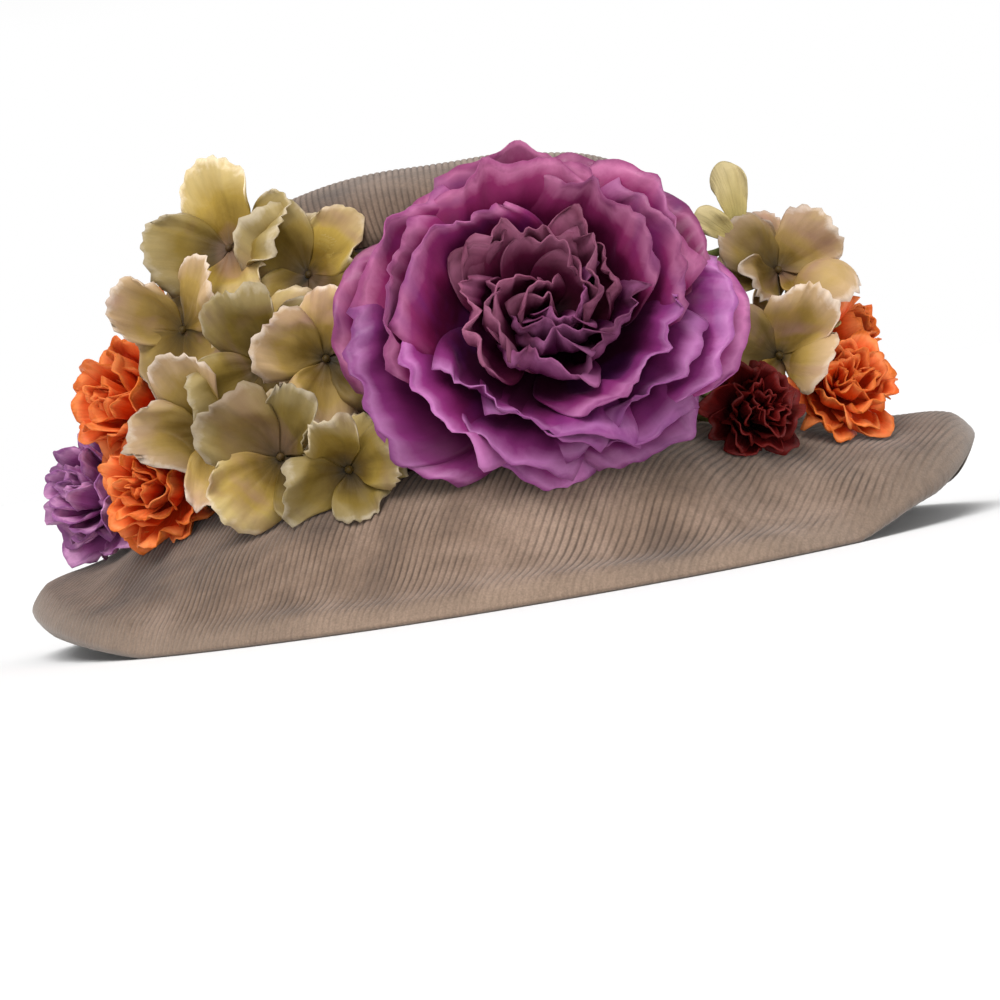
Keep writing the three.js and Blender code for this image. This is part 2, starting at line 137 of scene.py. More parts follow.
def attributeNode(tree, name):
    node = tree.nodes.new("ShaderNodeAttribute")
    node.attribute_name = name
    return node.outputs["Fac"]


def splitNode(tree, vector):
    node = tree.nodes.new("ShaderNodeSeparateXYZ")
    plug(tree, node.inputs[0], vector)
    return node.outputs


def uvNode(tree, name):
    node = tree.nodes.new("ShaderNodeUVMap")
    node.uv_map = name
    parts = splitNode(tree, node.outputs["UV"])
    return node.outputs["UV"], parts["X"], parts["Y"]


def objectPoints(tree):
    return tree.nodes.new("ShaderNodeTexCoord").outputs["Object"]


def setSurface(shader, look):
    for socket, key in (("Roughness", "roughness"), ("Sheen Weight", "sheen"),
                        ("Sheen Roughness", "sheenRoughness"), ("Specular IOR Level", "gloss")):
        shader.inputs[socket].default_value = look[key]


# Corduroy: rounded wales with painted shade in the narrow grooves, brushed pile and soft wear
corduroyLook = {
    "shade": hexColour("645348"), "ridge": hexColour("87705f"), "worn": hexColour("a68d7b"),
    # The under colour is painted shade on the inner faces, and the groove colour is painted shade in the
    # grooves
    "grooveShade": hexColour("3c2f26"), "under": hexColour("57463a"), "edge": hexColour("9a8472"),
    # Painted shade: darker to the left and right, over about the width of the hat, where the brim turns away
    # from the light
    "paintedSideShade": [(0.0, grey(0.73)), (0.4, grey(1.0)), (0.64, grey(1.0)), (1.0, grey(0.69))],
    "sideShadePerMetre": 3.2, "patchSize": 24.0, "creaseShadeSize": 30.0, "brushedSize": 42.0, "pileSize": 1500.0,
    "threadStretch": (2.0, 0.35, 1.0), "edgeWear": 0.75, "fleckShare": 0.8, "threadShare": 0.8,
    "pileDepth": 0.0003, "threadDepth": 0.0004,
    "roughness": 0.95, "sheen": 0.3, "sheenRoughness": 0.5, "gloss": 0.12,
}


def corduroyMaterial(name, look):
    material, tree, shader = newMaterial(name)
    points = objectPoints(tree)
    uv, across, _ = uvNode(tree, "cloth")
    patches = noiseNode(tree, points, look["patchSize"], 5.0, 0.6, 0.4)
    colour = rampNode(tree, patches, [(0.34, look["shade"]), (0.5, look["ridge"]), (0.68, look["worn"])])
    # Painted shade on the inner faces: a darker colour, darker still in soft crease-sized patches, for the
    # shade under the brim and inside the crown
    creases = noiseNode(tree, points, look["creaseShadeSize"], 4.0, 0.65, 1.2)
    paintedCreaseShade = rampNode(tree, creases, [(0.35, grey(0.55)), (0.6, grey(1.0))])
    inner = mixNode(tree, "MULTIPLY", 1.0, look["under"], paintedCreaseShade)
    colour = mixNode(tree, "MIX", attributeNode(tree, "under"), colour, inner)
    worn = mathNode(tree, "MULTIPLY", attributeNode(tree, "rim"), look["edgeWear"])
    colour = mixNode(tree, "MIX", worn, colour, look["edge"])
    fleck = noiseNode(tree, points, look["pileSize"], 2.0, 0.7)
    fleck = rampNode(tree, fleck, [(0.3, grey(0.7)), (0.66, grey(1.0))])
    colour = mixNode(tree, "MULTIPLY", look["fleckShare"], colour, fleck)
    threads = noiseNode(tree, stretched(tree, uv, look["threadStretch"]), 1.0, 3.0, 0.6)
    streak = rampNode(tree, threads, [(0.32, grey(0.82)), (0.64, grey(1.05))])
    colour = mixNode(tree, "MULTIPLY", look["threadShare"], colour, streak)
    # Painted shade in the narrow grooves between the wales, varying in patches and weaker where the rim is
    # worn; the wales also have real relief
    part = mathNode(tree, "FRACT", across)
    sideways = mathNode(tree, "ABSOLUTE", mathNode(tree, "SUBTRACT", part, 0.5))
    grooveShade = rampNode(tree, sideways, [(0.22, grey(0.0)), (0.48, grey(1.0))], "EASE")
    brushed = noiseNode(tree, points, look["brushedSize"], 4.0, 0.6)
    brushed = rampNode(tree, brushed, [(0.35, grey(0.15)), (0.62, grey(0.7))])
    kept = mathNode(tree, "SUBTRACT", 1.0, worn)
    depth = mathNode(tree, "MULTIPLY", mathNode(tree, "MULTIPLY", grooveShade, brushed), kept)
    colour = mixNode(tree, "MIX", depth, colour, look["grooveShade"])
    # Painted shade that darkens the cloth towards the left and right ends of the hat
    sidewards = mathNode(tree, "MULTIPLY", splitNode(tree, points)["X"], look["sideShadePerMetre"])
    paintedSideShade = rampNode(tree, mathNode(tree, "ADD", sidewards, 0.5), look["paintedSideShade"], "EASE")
    plug(tree, shader.inputs["Base Color"], mixNode(tree, "MULTIPLY", 1.0, colour, paintedSideShade))
    pile = noiseNode(tree, points, look["pileSize"], 3.0, 0.7)
    fuzz = bumpNode(tree, pile, 0.35, look["pileDepth"])
    plug(tree, shader.inputs["Normal"], bumpNode(tree, threads, 0.3, look["threadDepth"], fuzz))
    setSurface(shader, look)
    return material


# What a silk is like unless its own look says otherwise
plainSilk = {
    "mottleSize": 90.0, "drift": 0.4, "warmSize": 26.0, "blotchSize": 60.0, "weaveSize": 2400.0,
    "veins": 16.0, "veinStretch": 1.6, "veinDepth": 0.6, "relief": 0.5, "reliefDepth": 0.0007,
    "dimple": 0.08, "dimpleDepth": 0.0015, "weave": 0.15, "weaveDepth": 0.0002,
    "sheen": 0.2, "sheenRoughness": 0.4, "gloss": 0.22,
}


# Silk: colour runs from the root of a petal to its edge, with veins, mottling and a slight sheen. The dark
# root of each ramp is painted shade of the hollows between petals, and where a ramp is lightest just short of
# the edge, that band is a painted highlight on the rolled rim.
def silkMaterial(name, ownLook):
    look = {**plainSilk, **ownLook}
    material, tree, shader = newMaterial(name)
    points = objectPoints(tree)
    uv, _, along = uvNode(tree, "petal")
    mottle = noiseNode(tree, points, look["mottleSize"], 5.0, 0.62, 0.6)
    drift = mathNode(tree, "MULTIPLY", mathNode(tree, "SUBTRACT", mottle, 0.5), look["drift"])
    place = mathNode(tree, "ADD", along, drift)
    # This ramp holds the painted shade near the root and the painted highlight near the rim
    colour = rampNode(tree, place, look["main"])
    if "warm" in look:
        warm = rampNode(tree, place, look["warm"])
        patches = mathNode(tree, "SUBTRACT", noiseNode(tree, points, look["warmSize"], 2.0, 0.5), 0.5)
        share = mathNode(tree, "ADD", attributeNode(tree, "warmth"), patches)
        share = rampNode(tree, share, [(0.3, grey(0)), (0.7, grey(1))])
        colour = mixNode(tree, "MIX", share, colour, warm)
    blotch = noiseNode(tree, points, look["blotchSize"], 3.0, 0.6, 0.8)
    where = rampNode(tree, blotch, [(0.52, grey(0.0)), (0.7, grey(look["blotch"]))])
    colour = mixNode(tree, "MIX", where, colour, look["blotchColour"])
    tone = rampNode(tree, attributeNode(tree, "tone"), [(0.0, grey(look["dim"])), (1.0, grey(1.0))])
    colour = mixNode(tree, "MULTIPLY", 1.0, colour, tone)
    veined = stretched(tree, uv, (look["veins"], look["veinStretch"], 1.0))
    veins = noiseNode(tree, veined, 1.0, 3.0, 0.6)
    lines = rampNode(tree, veins, [(0.36, grey(0.8)), (0.56, grey(1.0))])
    colour = mixNode(tree, "MULTIPLY", look["veinDepth"], colour, lines)
    plug(tree, shader.inputs["Base Color"], colour)
    weave = noiseNode(tree, points, look["weaveSize"], 1.0)
    relief = bumpNode(tree, veins, look["relief"], look["reliefDepth"])
    relief = bumpNode(tree, mottle, look["dimple"], look["dimpleDepth"], relief)
    relief = bumpNode(tree, weave, look["weave"], look["weaveDepth"], relief)
    plug(tree, shader.inputs["Normal"], relief)
    shader.inputs["Sheen Tint"].default_value = look["main"][-2][1]
    setSurface(shader, look)
    return material


def addObject(name, data):
    added = bpy.data.objects.new(name, data)
    bpy.context.collection.objects.link(added)
    return added


def addPiece(name, bm, materials, nodes):
    mesh = bpy.data.meshes.new(name)
    bm.to_mesh(mesh)
    bm.free()
    mesh.shade_smooth()
    piece = addObject(name, mesh)
    for material in materials:
        mesh.materials.append(material)
    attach(piece, "root")
    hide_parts(*nodes)
    return piece


def swell(distance, width):
    return exp(-((distance / width) ** 2))


def wrapped(degrees):
    return (degrees + 180) % 360 - 180


def between(low, high, share):
    return low + (high - low) * share


def planAngle(point):
    return atan2(point.y, point.x)


def planRadius(point):
    return hypot(point.x, point.y)


# The larger of two values, rounded where they cross
def softMax(first, second, soft):
    high, low = max(first, second), min(first, second)
    return high + soft * log1p(exp((low - high) / soft))


# Crown and brim, the sizes that the frame has
crown = {
    "halfWidth": 80.0, "halfLength": 96.0, "wall": 2.0, "seamHeight": 42.0, "shoulderHeight": 112.0,
    "topHeight": 142.0, "lean": 9.0, "leanCurve": 1.7, "wrinkle": 1.1, "wrinkleHeight": 19.0,
    "seamGap": 0.3, "sunk": 0.7,
    "seamPull": 0.9, "shoulderSeam": 1.6, "headSeam": 2.0, "shoulderCurve": 0.86, "domeCurve": 0.8,
    "pitch": 2.0, "wales": 280, "samples": 5, "row": 4.0, "rib": 0.36,
}
brim = {
    "flange": 4.0, "arch": 5.0, "droop": 0.78, "wall": 2.0, "size": 166.0,
    "pitch": 2.0, "samples": 4, "row": 4.0, "turn": 28.0, "rib": 0.34, "foldDepth": 1.9,
    "roll": 5.0, "rollWidth": 2.8, "rollLifted": 2.6, "rollSoft": 3.5, "rollSteps": 5,
    "rollZone": 14.0, "rollCuts": 2, "hang": 4.5, "evened": 4.0, "freeHeight": 15, "seamSide": -20,
    "bulge": 0.9, "bulgeLifted": 0.8, "wornWidth": 3.6,
    "rollUneven": 0.5, "rollScale": 0.03, "rollFuller": 0.3, "softZone": 5, "softLeast": 0.05,
    "edgeRib": 0.35, "ribFade": 4, "crumple": 0.9, "crumpleScale": 0.06, "crumpleFade": 0.06,
    "lip": 3, "lipLifted": 6, "lipCurve": 0.6,
}

# Slow unevenness of the brim: where in the noise, its scale and its height
brimSway = [(7, 0.045, 1.8), (3, 0.11, 0.7)]

# The brim's edge: angle, reach from the middle of the hat, height over the floor
brimEdge = [
    (0, 159, 17), (20, 153, 5), (45, 148, -8), (68, 146, -8), (90, 146, -8), (112, 147, -8),
    (138, 150, 3), (163, 152, 9), (185, 153, 19), (205, 153, 13), (225, 155, 3), (243, 156, -5),
    (262, 158, -5), (281, 158, -5), (300, 158, -5), (318, 159, 5), (335, 163, 20), (348, 163, 27),
]

# Soft puckers: angle, width in degrees, place from seam to edge, spread, rise
brimFolds = [
    (234, 8, 0.62, 0.22, 3.2), (246, 7, 0.52, 0.2, 2.4), (298, 9, 0.5, 0.2, 3.0),
    (322, 10, 0.8, 0.18, 3.4), (345, 12, 0.7, 0.25, -2.6), (192, 12, 0.7, 0.25, -2.2),
    (150, 12, 0.6, 0.25, 2.0), (76, 14, 0.5, 0.22, 2.0), (28, 11, 0.6, 0.25, 2.4),
]


# The edge between its given places, a smooth curve through them
def edgeAt(degrees):
    count = len(brimEdge)
    after = bisect_right([row[0] for row in brimEdge], degrees % 360)
    rows = [brimEdge[(after + k) % count] for k in (-2, -1, 0, 1)]
    angles = [degrees + wrapped(row[0] - degrees) for row in rows]
    span = angles[2] - angles[1]
    t = (degrees - angles[1]) / span
    found = []
    for column in (1, 2):
        values = [row[column] for row in rows]
        slopeIn = (values[2] - values[0]) / (angles[2] - angles[0]) * span
        slopeOut = (values[3] - values[1]) / (angles[3] - angles[1]) * span
        found.append((2 * t ** 3 - 3 * t ** 2 + 1) * values[1] + (t ** 3 - 2 * t ** 2 + t) * slopeIn
                     + (3 * t ** 2 - 2 * t ** 3) * values[2] + (t ** 3 - t ** 2) * slopeOut)
    return found


edgeSteps = 4  # to a degree
edgeTable = [edgeAt(step / edgeSteps) for step in range(360 * edgeSteps + 1)]


def edgeFor(angle):
    place = (math.degrees(angle) % 360) * edgeSteps
    step = min(int(place), 360 * edgeSteps - 1)
    return [between(a, b, place - step) for a, b in zip(edgeTable[step], edgeTable[step + 1])]


def cubic(first, second, third, fourth, t):
    back = 1 - t
    return back ** 3 * first + 3 * back ** 2 * t * second + 3 * back * t ** 2 * third + t ** 3 * fourth


bellSteps = 200
bellReach = [cubic(0, 0.3, 0.74, 1, step / bellSteps) for step in range(bellSteps + 1)]


# How far along the bell's curve a point is that lies this share of the way out
def bellShare(out):
    step = min(bellSteps - 1, max(0, bisect_right(bellReach, out) - 1))
    return (step + (out - bellReach[step]) / (bellReach[step + 1] - bellReach[step])) / bellSteps


def ovalRadius(angle, halfWidth, halfLength):
    return 1 / hypot(cos(angle) / halfWidth, sin(angle) / halfLength)


def foldRise(angle, share):
    degrees = math.degrees(angle)
    rise = 0.0
    for foldAngle, width, place, spread, height in brimFolds:
        rise += height * swell(wrapped(degrees - foldAngle), width) * swell(share - place, spread)
    return rise


def seamRadius(angle):
    return ovalRadius(angle, crown["halfWidth"], crown["halfLength"])


def brimOutline(angle):
    return seamRadius(angle), edgeFor(angle)[0]


# How much of the edge's roll hangs free, from 0 on the floor to 1 where it is well lifted
def liftedShare(edgeHeight):
    return min(1, max(0, edgeHeight / brim["freeHeight"]))


# A point of the brim's top face over a point of its plan, and how close it is to the edge
def brimPoint(x, y):
    angle = atan2(y, x)
    reach, edgeHeight = edgeFor(angle)
    start = seamRadius(angle) + brim["flange"]
    out = (hypot(x, y) - start) / (reach - start)
    height = crown["seamHeight"]
    if out > 0:
        t = bellShare(min(out, 1))
        droopHeight = between(height, edgeHeight, brim["droop"])
        height = cubic(height, height + brim["arch"], droopHeight, edgeHeight, t)
        height += brim["foldDepth"] * foldRise(angle, t) * min(1, 3 * t)
        sway = sum(rise * noise.noise(Vector((x, y, spot)) * scale) for spot, scale, rise in brimSway)
        height += sway * min(1, 3 * out) * min(1, 4 * (1 - out) + 0.25)
    inward = max(0, reach - hypot(x, y))
    lifted = liftedShare(edgeHeight)
    uneven = brim["rollUneven"] * noise.noise(Vector((x, y, 21)) * brim["rollScale"])
    full = brim["roll"] * (1 + uneven + brim["rollFuller"] * lifted)
    rollWidth = brim["rollWidth"] + brim["rollLifted"] * lifted
    rolled = max(edgeHeight, brim["wall"]) + full * (1 - exp(-inward / rollWidth))
    soft = brim["rollSoft"] * min(1, inward / brim["softZone"]) + brim["softLeast"]
    height = softMax(height, rolled, soft)
    return Vector((x, y, height)), -inward


# A mesh with a value at each point for every name, and a UV layer
def newSurface(names, uvName):
    bm = bmesh.new()
    for name in names:
        bm.verts.layers.float.new(name)
    bm.loops.layers.uv.new(uvName)
    return bm


def newCloth():
    return newSurface(("across", "along", "rim", "under"), "cloth")


def layersOf(bm, *names):
    return [bm.verts.layers.float[name] for name in names]


smoothPasses = 3


# Moves the open edges of a flat cloth on to its outline
def ontoOutline(bm, outline):
    for vert in bm.verts:
        if vert.is_boundary:
            angle, radius = planAngle(vert.co), planRadius(vert.co)
            inner, outer = outline(angle)
            onto = inner if radius - inner < outer - radius else outer
            vert.co = Vector((onto * cos(angle), onto * sin(angle), 0))


# A flat grid in plan with its wales running straight, trimmed to an outline
def flatCloth(spec, outline):
    def nearEdge(point, zone):
        return planRadius(point) > outline(planAngle(point))[1] - zone

    bm = newCloth()
    across, along = layersOf(bm, "across", "along")
    step = spec["pitch"] / spec["samples"]
    columns, rows = round(2 * spec["size"] / step), round(2 * spec["size"] / spec["row"])
    bmesh.ops.create_grid(bm, x_segments=columns, y_segments=rows, size=spec["size"])
    turned = Matrix.Rotation(-radians(spec["turn"]), 4, "Z")
    bmesh.ops.transform(bm, matrix=turned, verts=bm.verts)
    outside = []
    for vert in bm.verts:
        inner, outer = outline(planAngle(vert.co))
        if not inner <= planRadius(vert.co) <= outer:
            outside.append(vert)
    bmesh.ops.delete(bm, geom=outside, context="VERTS")
    ontoOutline(bm, outline)
    if spec["rollCuts"]:
        rolled = [edge for edge in bm.edges if edge.calc_length() > 0.6 * spec["row"]
                  and nearEdge((edge.verts[0].co + edge.verts[1].co) / 2, spec["rollZone"])]
        bmesh.ops.subdivide_edges(bm, edges=rolled, cuts=spec["rollCuts"], use_grid_fill=True)
    edgeZone = [vert for vert in bm.verts if nearEdge(vert.co, spec["evened"])]
    for again in range(smoothPasses):
        bmesh.ops.smooth_vert(bm, verts=edgeZone, factor=0.5, use_axis_x=True, use_axis_y=True)
        ontoOutline(bm, outline)
    back = turned.inverted()
    for vert in bm.verts:
        flat = back @ vert.co
        vert[across], vert[along] = flat.x / spec["pitch"], flat.y
    return bm


ribCurve = 0.7
insideRib = 0.3  # share of a wale on the inner face


def ribHeight(across):
    return abs(sin(pi * across)) ** ribCurve


# Raises the wales and adds the inner face, ready for the edges to be closed with a rolled turning
def giveWall(bm, spec, wall, onFloor=False):
    across, rim, under = layersOf(bm, "across", "rim", "under")
    bm.normal_update()
    outer = list(bm.verts)
    normals = [vert.normal.copy() for vert in outer]
    copied = bmesh.ops.duplicate(bm, geom=bm.verts[:] + bm.edges[:] + bm.faces[:])
    faces = [item for item in copied["geom"] if isinstance(item, bmesh.types.BMFace)]
    bmesh.ops.reverse_faces(bm, faces=faces)
    for vert, normal in zip(outer, normals):
        inside = copied["vert_map"][vert]
        inside[under] = 1.0
        rib = spec["rib"] * ribHeight(vert[across])
        crumple = 0.0
        if onFloor:
            rib *= min(1, brim["edgeRib"] - vert[rim] / brim["ribFade"])
            crumple = brim["crumple"] * noise.noise(vert.co * brim["crumpleScale"])
            crumple *= min(1, -brim["crumpleFade"] * vert[rim])
        inside.co -= normal * (wall - insideRib * rib + crumple)
        vert.co += normal * (rib - spec["rib"])
        if onFloor:
            lifted = liftedShare(edgeFor(planAngle(vert.co))[1])
            lip = min(1, -vert[rim] / (brim["lip"] + brim["lipLifted"] * lifted)) ** brim["lipCurve"]
            inside.co.z = max(0, between(vert.co.z - wall - brim["hang"] * lifted, inside.co.z, lip))
            vert.co.z = max(vert.co.z, wall - spec["rib"])


# Writes the UVs and takes the mesh from millimetres to the model's frame
def layOut(bm, uvName, scale=1.0, offset=0.0):
    across, along = layersOf(bm, "across", "along")
    uv = bm.loops.layers.uv[uvName]
    for face in bm.faces:
        for loop in face.loops:
            loop[uv].uv = (loop.vert[across] * scale + offset, loop.vert[along])
    bmesh.ops.transform(bm, matrix=toRow, verts=bm.verts)


print("materials")
corduroy = corduroyMaterial("corduroy", corduroyLook)


print("brim")


def makeBrim():
    bm = flatCloth(brim, brimOutline)
    rim, under = layersOf(bm, "rim", "under")
    for vert in bm.verts:
        vert.co, vert[rim] = brimPoint(vert.co.x, vert.co.y)

    giveWall(bm, brim, brim["wall"], onFloor=True)
    loose = [edge for edge in bm.edges if edge.is_boundary]
    outerEdges = [edge for edge in loose if edge.verts[0][rim] > brim["seamSide"]]
    innerEdges = [edge for edge in loose if edge.verts[0][rim] <= brim["seamSide"]]
    bmesh.ops.bridge_loops(bm, edges=innerEdges)
    rungs = bmesh.ops.bridge_loops(bm, edges=outerEdges)["edges"]
    bmesh.ops.subdivide_edges(bm, edges=rungs, cuts=brim["rollSteps"] - 1, use_grid_fill=True)
    for vert in bm.verts:
        if not 0.01 < vert[under] < 0.99:
            continue
        angle = planAngle(vert.co)
        bulge = brim["bulge"] + brim["bulgeLifted"] * liftedShare(edgeFor(angle)[1])
        bulge *= sin(pi * vert[under])
        vert.co.x += bulge * cos(angle)
        vert.co.y += bulge * sin(angle)
    for vert in bm.verts:
        vert[rim] = swell(min(0, vert[rim] + 1), brim["wornWidth"])
    layOut(bm, "cloth")
    return addPiece("brimCloth", bm, [corduroy], ["brim"])


brimCloth = makeBrim()


# Crown side: a band of cloth with upright wales
def crownWrinkle(angle, height):
    return crown["wrinkle"] * sin(5 * angle + 0.6) * sin(2 * angle + height / crown["wrinkleHeight"])


def onCrown(angle, inset, spread, height):
    width = (crown["halfWidth"] + crown["wall"] - inset) * spread
    length = (crown["halfLength"] + crown["wall"] - inset) * spread
    return Vector((width * cos(angle), length * sin(angle), height))


def crownSidePoint(angle, height):
    low, high = crown["seamHeight"], crown["shoulderHeight"]
    rise = max(0, 1 - (high - height) / (high - low - crown["seamGap"]))
    inset = crown["lean"] * rise ** crown["leanCurve"] - crownWrinkle(angle, height) * min(1, 4 * rise)
    pulled = swell(height - high, crown["shoulderSeam"]) + swell(height - low, crown["headSeam"])
    inset += crown["seamPull"] * pulled
    return onCrown(angle, inset, 1, height)


def makeCrownSide():
    bm = newCloth()
    across, along = layersOf(bm, "across", "along")
    low, high = crown["seamHeight"] - crown["sunk"], crown["shoulderHeight"]
    columns = crown["wales"] * crown["samples"]
    bmesh.ops.create_grid(bm, x_segments=columns, y_segments=round((high - low) / crown["row"]), size=1)
    for vert in bm.verts:
        turn, rise = (vert.co.x + 1) / 2, (vert.co.y + 1) / 2
        vert[across], vert[along] = turn * crown["wales"], between(low, high, rise)
        vert.co = crownSidePoint(2 * pi * turn, vert[along])
    giveWall(bm, crown, crown["wall"])
    bmesh.ops.remove_doubles(bm, verts=bm.verts, dist=0.01)
    loose = [edge for edge in bm.edges if edge.is_boundary]
    middle = (low + high) / 2
    bmesh.ops.bridge_loops(bm, edges=[edge for edge in loose if edge.verts[0].co.z < middle])
    bmesh.ops.bridge_loops(bm, edges=[edge for edge in loose if edge.verts[0].co.z > middle])
    layOut(bm, "cloth")
    return addPiece("crownSideCloth", bm, [corduroy], ["crown_side"])


print("crown")
crownSideCloth = makeCrownSide()

# Crown tip: cut as a flat oval, its wales running front to back
crownTip = {
    **crown, "size": 104.0, "flatWidth": 84.0, "flatLength": 100.0, "sectionWidth": 81, "steps": 400,
    "turn": 0.0, "rollZone": 0.0, "rollCuts": 0, "evened": 1.2,
    "dent": 2.4, "dentWidth": 0.45, "dimple": 1.2, "uneven": 0.7,
}


def tipSection(bend):
    return sin(bend) ** crown["shoulderCurve"], max(0, cos(bend)) ** crown["domeCurve"]


def tipBends():
    total, lengths, bends = 0.0, [0.0], [0.0]
    rise = crown["topHeight"] - crown["shoulderHeight"]
    before = (0.0, 1.0)
    for step in range(1, crownTip["steps"] + 1):
        bend = pi / 2 * step / crownTip["steps"]
        here = tipSection(bend)
        total += hypot(crownTip["sectionWidth"] * (here[0] - before[0]), rise * (here[1] - before[1]))
        lengths.append(total)
        bends.append(bend)
        before = here
    return [length / total for length in lengths], bends


tipLengths, tipBendTable = tipBends()


def tipPoint(x, y):
    flat = min(1, hypot(x / crownTip["flatWidth"], y / crownTip["flatLength"]))
    angle = atan2(y / crownTip["flatLength"], x / crownTip["flatWidth"])
    step = min(crownTip["steps"] - 1, max(0, bisect_right(tipLengths, flat) - 1))
    t = (flat - tipLengths[step]) / (tipLengths[step + 1] - tipLengths[step])
    bend = between(tipBendTable[step], tipBendTable[step + 1], t)
    share = bend / (pi / 2)
    spread, top = tipSection(bend)
    inset = crown["lean"] - crownWrinkle(angle, crown["shoulderHeight"])
    inset += crown["seamPull"] * swell(1 - flat, 0.02)
    dent = crownTip["dent"] * swell(share, crownTip["dentWidth"])
    dent += crownTip["dimple"] * sin(3 * angle) * share * (1 - share)
    low = crown["shoulderHeight"] + crown["seamGap"]
    height = low + (crown["topHeight"] - low) * top - dent
    height += crownTip["uneven"] * noise.noise(Vector((x, y, 11)) * 0.05) * (1 - share)
    return onCrown(angle, inset, spread, height)


def tipOutline(angle):
    return -1.0, ovalRadius(angle, crownTip["flatWidth"], crownTip["flatLength"])


def makeCrownTip():
    bm = flatCloth(crownTip, tipOutline)
    for vert in bm.verts:
        vert.co = tipPoint(vert.co.x, vert.co.y)
    giveWall(bm, crownTip, crown["wall"])
    bmesh.ops.bridge_loops(bm, edges=[edge for edge in bm.edges if edge.is_boundary])
    layOut(bm, "cloth")
    return addPiece("crownTipCloth", bm, [corduroy], ["crown_tip"])


crownTipCloth = makeCrownTip()


# A flower's frame: +Z is the way it faces and +Y points up
def flowerFrame(place):
    heading, lift = radians(270 + place["turn"]), radians(place["lift"])
    facing = Vector((cos(heading) * cos(lift), sin(heading) * cos(lift), sin(lift)))
    side = Vector((0, 0, 1)).cross(facing).normalized()
    up = facing.cross(side)
    basis = Matrix((side, up, facing)).transposed().to_4x4()
    spin = Matrix.Rotation(radians(place.get("spin", 0)), 4, "Z")
    return Matrix.Translation((place["x"], place["y"], place["z"])) @ basis @ spin


# What a petal is like unless its ring says otherwise
plainPetal = {
    "teeth": 0, "toothCount": 0, "bellyRise": 0, "neck": 0.7, "roll": 0, "frill": 0, "grain": 0.12,
    "creases": 0.22, "pleat": 0, "shift": (0, 0), "loose": 0.06, "material": 0,
}
petalValues = ("across", "along", "tone", "warmth")
silkThickness = 0.4
resting = {"clear": 0.8, "soft": 0.5}  # how far petals keep from cloth, and how softly


# One point of a petal, from its root on the flower's axis out to its edge
def petalPoint(ring, petal, across, along):
    teeth = ring["teeth"] * (0.5 + 0.5 * cos(ring["toothCount"] * across * pi))
    t = along * sqrt(1 - ring["round"] * across ** 2) * (1 - teeth * along ** 6)
    side = across * sqrt(1 - ring.get("taper", 1 - ring["round"]) * along ** 2)
    root, base, reach, tip = ring["root"], ring["base"], petal["reach"], petal["tip"]
    belly, bellyHeight = reach * ring["belly"], between(base, tip, ring["bellyRise"])
    back = 1 - t
    out = back * back * root + 2 * back * t * belly + t * t * reach
    height = back * back * base + 2 * back * t * bellyHeight + t * t * tip
    slopeOut = back * (belly - root) + t * (reach - belly)
    slopeUp = back * (bellyHeight - base) + t * (tip - bellyHeight)
    length = hypot(slopeOut, slopeUp) or 1
    neck = ring["neck"]
    width = radians(ring["half"]) * (neck + (1 - neck) * sin(pi / 2 * min(1, along / 0.6)))
    angle = radians(petal["turn"]) - side * width
    free = along ** 2
    seed = petal["seed"]
    lift = ring["lap"] * across * along
    waving = sin(pi * ring["waves"] * across + seed) * (0.45 + 0.55 * abs(across))
    lift += ring["ruffle"] * along ** 3 * waving
    lift -= ring["curl"] * max(0, (along - 0.7) / 0.3) ** 2 * (1 + 0.5 * sin(3 * across + seed))
    lift -= ring["roll"] * abs(across) ** 4 * along
    frilled = sin(17 * across + 5 * sin(seed + 4 * across))
    lift += ring["frill"] * max(0, (along - 0.75) / 0.25) ** 2 * frilled
    spot = Vector((across * width * reach, along * reach, 9.1 * seed)) * ring["grain"]
    lift += ring["crinkle"] * free * noise.noise(spot)
    lift += ring["creases"] * ring["crinkle"] * along * noise.noise(spot * 2.1)
    pleat = Vector((2.6 * spot.x, 0.6 * spot.y, spot.z + 5))
    lift += ring["pleat"] * along * noise.noise(pleat)
    out -= slopeUp / length * lift
    height += slopeOut / length * lift
    out = max(out, 0.4)
    aside = ring["shift"]
    return Vector((out * cos(angle) + aside[0] * t, out * sin(angle) + aside[1] * t, height))


def crownAngle(point):
    return atan2(point.y / crown["halfLength"], point.x / crown["halfWidth"])


# Petals lie on the brim and against the crown, never through them
def clearOfCloth(point):
    low, top = crown["shoulderHeight"], crown["topHeight"]
    level = min(1, max(0, (point.z - low) / (top - low)))
    spread = sin(acos(level ** (1 / crown["domeCurve"]))) ** crown["shoulderCurve"]
    wall = crownSidePoint(crownAngle(point), min(low, max(crown["seamHeight"], point.z)))
    radius = max(1, planRadius(point))
    moved = softMax(radius, planRadius(wall) * spread + resting["clear"], resting["soft"]) / radius
    x, y = point.x * moved, point.y * moved
    return Vector((x, y, softMax(point.z, brimPoint(x, y)[0].z + resting["clear"], resting["soft"])))


def addPetal(bm, place, ring, petal, pushed):
    layers = layersOf(bm, *petalValues)
    columns, rows = ring["grid"]
    made = bmesh.ops.create_grid(bm, x_segments=columns, y_segments=rows, size=1.0)["verts"]
    for vert in made:
        across, along = vert.co.x, ((vert.co.y + 1) / 2) ** 0.85
        vert.co = clearOfCloth(pushed(place @ petalPoint(ring, petal, across, along)))
        for held, value in zip(layers, (across, along, petal["tone"], petal["warmth"])):
            vert[held] = value
    return made


